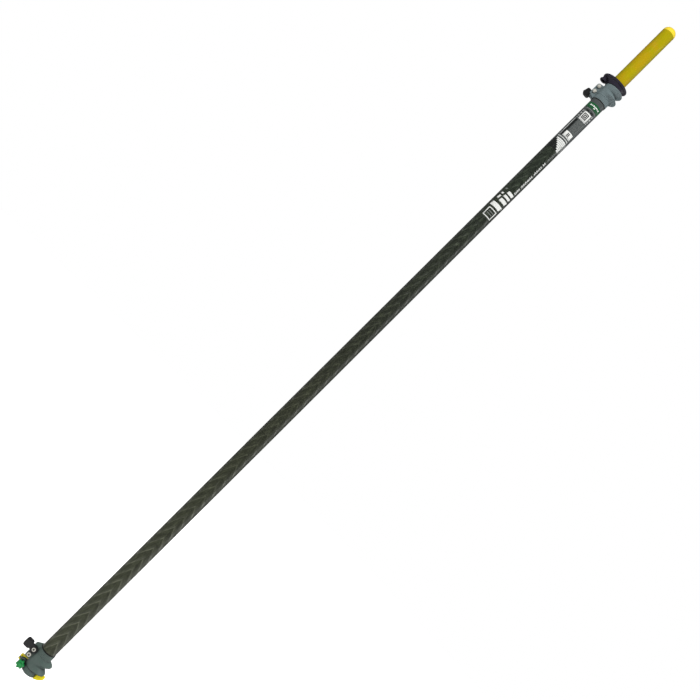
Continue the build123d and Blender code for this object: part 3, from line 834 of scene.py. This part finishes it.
labelPrint = {
    # millimetres: first the drops below the film's top edge, then the left and right sides
    "green": (12.0, 26.9),
    "paleLine": (28.4, 30.0),
    "greenDashes": {"drops": (16.6, 19.8), "left": -12.4, "pitch": 3.7, "stagger": 0.5, "slant": 0.7,
                    "widths": (2.9, 2.2, 3.2, 2.6, 3.0, 2.4, 2.8)},
    "greenTick": (21.2, 23.8, -1.2, 2.4, 1.4),
    "blackBars": [(32.6, 36.0, -9.4, -2.2), (32.6, 36.0, 1.4, 9.4)],
    "whiteBlock": (38.0, 61.8, -9.4, 9.4),
    "pictogram": (41.6, 56.8, -7.0, 5.8),
    "pictogramFrame": {"inset": (2.2, 2.0), "inside": (3.4, 3.2), "core": (5.6, 5.2)},
    "sideColumns": {"sides": [(-14.4, -11.4), (11.0, 14.4)], "top": 35.0, "pitch": 2.35, "high": 1.25,
                    "rows": 11, "shorter": 0.6},
    "edgeLine": (63.6, 115.0, -14.4, -13.6),
    "darkColumn": (63.6, 114.0, -12.2, -7.8),
    "columnLines": {"drops": (64.4, 97.0), "lefts": (-5.4, 0.5, 6.8), "wide": 0.7},
    # each column of fine print: left, right, after how many rows it repeats, how much shorter each row is
    "finePrint": {"top": 65.4, "pitch": 2.25, "high": 0.9, "rows": 14,
                  "columns": [(-3.6, 0.2, 3, 0.9), (2.4, 6.8, 4, 0.8), (9.2, 13.0, 2, 1.1)]},
    "smallBlock": (99.0, 114.0, -8.8, 12.2),
    "smallBars": {"first": 3.2, "pitch": 3.2, "high": 2.1, "sides": (6.8, 14.0), "rows": 3},
    "dottedLine": (117.2, 119.6, -14.0, 13.6),
    "dots": {"count": 14, "wide": 1.45},
    "stair": (123.0, 151.0, -12.8, 13.0),
    "stairSteps": {"count": 7, "gap": 0.5, "shortest": 3.0, "darkLeft": -15.2, "darkGap": 0.8},
    "stairEdge": (123.0, 151.0, 14.9, 15.5),
}


def makeLabelPrint():
    look = labelPrint
    top = labelHigh.z
    base = labelHigh.x
    white, green, black, pale = (bmesh.new() for _ in range(4))

    def patch(mesh, layer, *place):
        dropPatch(mesh, base + (printShape["lift"] + printShape["layer"] * layer) * mm, *place)

    for mesh, (dropLow, dropHigh) in ((green, look["green"]), (pale, look["paleLine"])):
        printRing(mesh, base + printShape["lift"] * mm, top - dropHigh * mm, top - dropLow * mm)
    dashes = look["greenDashes"]
    high, low = dashes["drops"]
    for index, width in enumerate(dashes["widths"]):
        left = dashes["left"] + index * dashes["pitch"]
        start = high + dashes["stagger"] * (index % 2)
        patch(white, 1, start, low, left, left + width, dashes["slant"])
    patch(white, 1, *look["greenTick"])
    for bar in look["blackBars"]:
        patch(black, 0, *bar)
    patch(white, 0, *look["whiteBlock"])
    makePictogram(patch, white, black)
    columns = look["sideColumns"]
    for left, right in columns["sides"]:
        for index in range(columns["rows"]):
            drop = columns["top"] + index * columns["pitch"]
            ink = white if index % 3 else pale
            patch(ink, 0, drop, drop + columns["high"], left, right - (index % 4) * columns["shorter"])
    patch(white, 0, *look["edgeLine"])
    patch(black, 0, *look["darkColumn"])
    for left in look["columnLines"]["lefts"]:
        patch(pale, 0, *look["columnLines"]["drops"], left, left + look["columnLines"]["wide"])
    fine = look["finePrint"]
    for index in range(fine["rows"]):
        drop = fine["top"] + index * fine["pitch"]
        for left, right, cycle, shorter in fine["columns"]:
            patch(pale, 0, drop, drop + fine["high"], left, right - (index % cycle) * shorter)
    makeSmallBlock(patch, white, black)
    makeStair(patch, white, black)
    finishPrint("label_print_white", white, "inkWhite")
    finishPrint("label_print_green", green, "inkGreen")
    finishPrint("label_print_black", black, "inkBlack")
    finishPrint("label_print_pale", pale, "inkPale")


def makePictogram(patch, white, black):
    # a white frame round a white block, on black
    low, high, left, right = labelPrint["pictogram"]
    frameLook = labelPrint["pictogramFrame"]
    insetZ, insetX = frameLook["inset"]
    insideZ, insideX = frameLook["inside"]
    coreZ, coreX = frameLook["core"]
    patch(black, 1, low, high, left, right)
    patch(white, 2, low + insetZ, high - insetZ, left + insetX, left + insideX)
    patch(white, 2, low + insetZ, high - insetZ, right - insideX, right - insetX)
    patch(white, 2, low + insetZ, low + insideZ, left + insideX, right - insideX)
    patch(white, 2, high - insideZ, high - insetZ, left + insideX, right - insideX)
    patch(white, 2, low + coreZ, high - coreZ, left + coreX, right - coreX)


def makeSmallBlock(patch, white, black):
    # a white block with plain bars, and the dotted line below it
    low, high, left, right = labelPrint["smallBlock"]
    bars = labelPrint["smallBars"]
    patch(white, 0, low, high, left, right)
    for index in range(bars["rows"]):
        drop = low + bars["first"] + index * bars["pitch"]
        patch(black, 1, drop, drop + bars["high"], left + bars["sides"][0], left + bars["sides"][1])
    low, high, left, right = labelPrint["dottedLine"]
    dots = labelPrint["dots"]
    for index in range(dots["count"]):
        start = left + index * (right - left) / dots["count"]
        patch(white, 0, low, high, start, start + dots["wide"])


def makeStair(patch, white, black):
    # white bars that get shorter downwards, with black beside them
    low, high, left, right = labelPrint["stair"]
    steps = labelPrint["stairSteps"]
    height = (high - low) / steps["count"]
    for index in range(steps["count"]):
        start = left + (right - left - steps["shortest"]) * index / steps["count"]
        dropLow = low + index * height
        dropHigh = low + (index + 1) * height
        patch(white, 0, dropLow, dropHigh - steps["gap"], start, right)
        patch(black, 0, dropLow, dropHigh, steps["darkLeft"], start - steps["darkGap"])
    patch(white, 0, *labelPrint["stairEdge"])


tubePrint = {
    # millimetres, measured as on the label
    "paleRuns": [(144.0, 178.0)],
    "whiteRuns": [(186.0, 192.0), (198.0, 222.0), (228.0, 262.0), (268.0, 282.0)],
    "runSides": (8.8, 13.6),
    "dashPitches": (1.6, 2.6, 1.1, 3.2),
    "dashShare": 0.62,
    "dashShifts": (0.7, 0.9),
    "markTop": 283.0,
    # generic slanted mark, each bar: drops below its top, left and right sides, slant
    "whiteBars": [(5.0, 12.6, -3.0, 12.2, 1.6), (16.4, 22.8, -4.2, 12.4, 1.6),
                  (27.0, 36.0, -4.8, 12.6, 1.6), (15.0, 19.4, -12.8, -8.0, 1.0),
                  (24.0, 33.0, -12.8, -8.6, 1.0), (43.0, 54.0, -13.4, 12.6, 1.8),
                  (59.0, 61.2, -9.4, 13.0, 0.0), (79.8, 82.0, -9.4, 13.0, 0.0),
                  (59.0, 82.0, -9.4, -7.2, 0.0), (59.0, 82.0, 11.0, 13.0, 0.0)],
    "paleBars": [(2.0, 6.0, -13.0, -9.0, 1.0), (66.0, 68.2, -5.0, 9.0, 0.0), (71.6, 73.8, -5.0, 9.0, 0.0)],
}


def makeTubePrint():
    look = tubePrint
    radius = tubeRadius + printShape["tubeLift"] * mm
    left, right = look["runSides"]
    leftShift, rightShift = look["dashShifts"]
    for ink, name, runs, bars in (("inkWhite", "tube_print_white", look["whiteRuns"], look["whiteBars"]),
                                  ("inkPale", "tube_print_pale", look["paleRuns"], look["paleBars"])):
        mesh = bmesh.new()
        for drop, end in runs:                   # fine print along the tube
            index = 0
            while drop < end:
                pitch = look["dashPitches"][index % len(look["dashPitches"])]
                dropPatch(mesh, radius, drop, drop + pitch * look["dashShare"],
                          left + (index % 3) * leftShift, right - (index % 2) * rightShift)
                drop += pitch
                index += 1
        for dropLow, dropHigh, *sides in bars:
            dropPatch(mesh, radius, look["markTop"] + dropLow, look["markTop"] + dropHigh, *sides)
        finishPrint(name, mesh, ink)


makeLabelPrint()
makeTubePrint()
print("label and prints made")


stageLook = {
    "floorDrop": 0.35,
    "floorRadius": 9.0,
    "floorSides": 96,
    "paper": (0.80, 0.80, 0.80),
    "paperCloud": (0.84, 0.84, 0.84),
    "roughness": 0.9,
    "grainScale": 300.0,
    "cloudScale": 2.0,
    "glow": 1.0,
}


def makeStage():
    look = stageLook
    mesh = bmesh.new()
    bmesh.ops.create_circle(mesh, cap_ends=True, segments=look["floorSides"], radius=look["floorRadius"])
    floor = newPiece("paleFloor", mesh)
    floor.location = (0, 0, cadLow.z - look["floorDrop"])
    material, tree, shader = newMaterial(
        "studioPaper", look["paper"], look["roughness"], {"Emission Strength": look["glow"]})
    path = addNode(tree, "ShaderNodeLightPath")
    glow = mixColour(tree, path.outputs["Is Camera Ray"], (0.0, 0.0, 0.0), (1.0, 1.0, 1.0))
    wire(tree, glow, shader.inputs["Emission Color"])
    grain = useGroup(
        tree, mouldGrain, {"Grain Scale": look["grainScale"], "Cloud Scale": look["cloudScale"]})
    paper = mixColour(tree, grain["Tone"], look["paper"], look["paperCloud"])
    wire(tree, paper, shader.inputs["Base Color"])
    floor.data.materials.append(material)


lightLook = {
    # place, height aimed at, size across, size along, power, colour, whether glossy surfaces show it
    "frontSoftbox": ((-0.25, -2.7, 3.3), 0.9, 1.1, 1.1, 98.0, (1.0, 0.99, 0.97), False),
    "frontCard": ((-0.6, -2.6, 1.9), 1.2, 1.2, 1.0, 2.0, (1.0, 1.0, 1.0), True),
    "sideStrip": ((2.3, -0.05, 1.0), 1.0, 1.3, 3.6, 27.0, (1.0, 1.0, 1.0), True),
    "leftStrip": ((-2.4, 0.9, 1.1), 1.0, 0.5, 3.2, 4.0, (0.97, 0.98, 1.0), True),
    "backSoftbox": ((0.8, 3.0, 2.6), 0.9, 1.6, 1.6, 80.0, (1.0, 0.99, 0.98), False),
}
worldLook = {"seen": 1.0, "lighting": 0.14}


def makeLights():
    for name, (place, aim, across, along, power, colour, glossy) in lightLook.items():
        data = bpy.data.lights.new(name, "AREA")
        data.shape = "RECTANGLE"
        data.size = across
        data.size_y = along
        data.energy = power
        data.color = colour
        lamp = bpy.data.objects.new(name, data)
        lamp.location = place
        toward = Vector((0, 0, aim)) - Vector(place)
        lamp.rotation_euler = toward.to_track_quat("-Z", "Y").to_euler()
        lamp.visible_glossy = glossy
        bpy.context.scene.collection.objects.link(lamp)


def makeWorld():
    # white behind the pole, but only dim light from all round
    look = worldLook
    world = bpy.data.worlds.new("studio")
    world.use_nodes = True
    tree = world.node_tree
    background = tree.nodes["Background"]
    background.inputs["Color"].default_value = (1.0, 1.0, 1.0, 1.0)
    path = addNode(tree, "ShaderNodeLightPath")
    strength = shift(tree, look["lighting"], path.outputs["Is Camera Ray"], look["seen"] - look["lighting"])
    wire(tree, strength, background.inputs["Strength"])
    bpy.context.scene.world = world
    bpy.context.scene.view_settings.view_transform = "Standard"


cameraLook = {
    "lens": 41.17,
    "sensor": 36.0,
    "farthest": 60.0,
    "distance": 1.739,
    "aimHeight": 0.956,
    "aside": -0.0014,
    "lean": 3.5,         # degrees: the pole's foot is nearer than its top
    "roll": 44.86,       # degrees above the horizontal that the pole points in the frame
}


def makeCamera():
    look = cameraLook
    lean = math.radians(look["lean"])
    roll = math.radians(look["roll"])
    # each row says how one of the world's axes lies along the camera's right, up and back
    alongX = Vector((math.sin(roll), -math.cos(roll), 0))
    alongZ = Vector((math.cos(roll) * math.cos(lean), math.sin(roll) * math.cos(lean), -math.sin(lean)))
    alongY = alongZ.cross(alongX)
    turn = Matrix((alongX, alongY, alongZ))
    data = bpy.data.cameras.new("mainCamera")
    data.lens = look["lens"]
    data.sensor_width = look["sensor"]
    data.clip_end = look["farthest"]
    camera = bpy.data.objects.new("mainCamera", data)
    camera.matrix_world = turn.to_4x4()
    camera.location = Vector((look["aside"], 0, look["aimHeight"])) + turn.col[2] * look["distance"]
    bpy.context.scene.collection.objects.link(camera)
    bpy.context.scene.camera = camera


makeStage()
makeLights()
makeWorld()
makeCamera()
print("stage, lights and camera made")
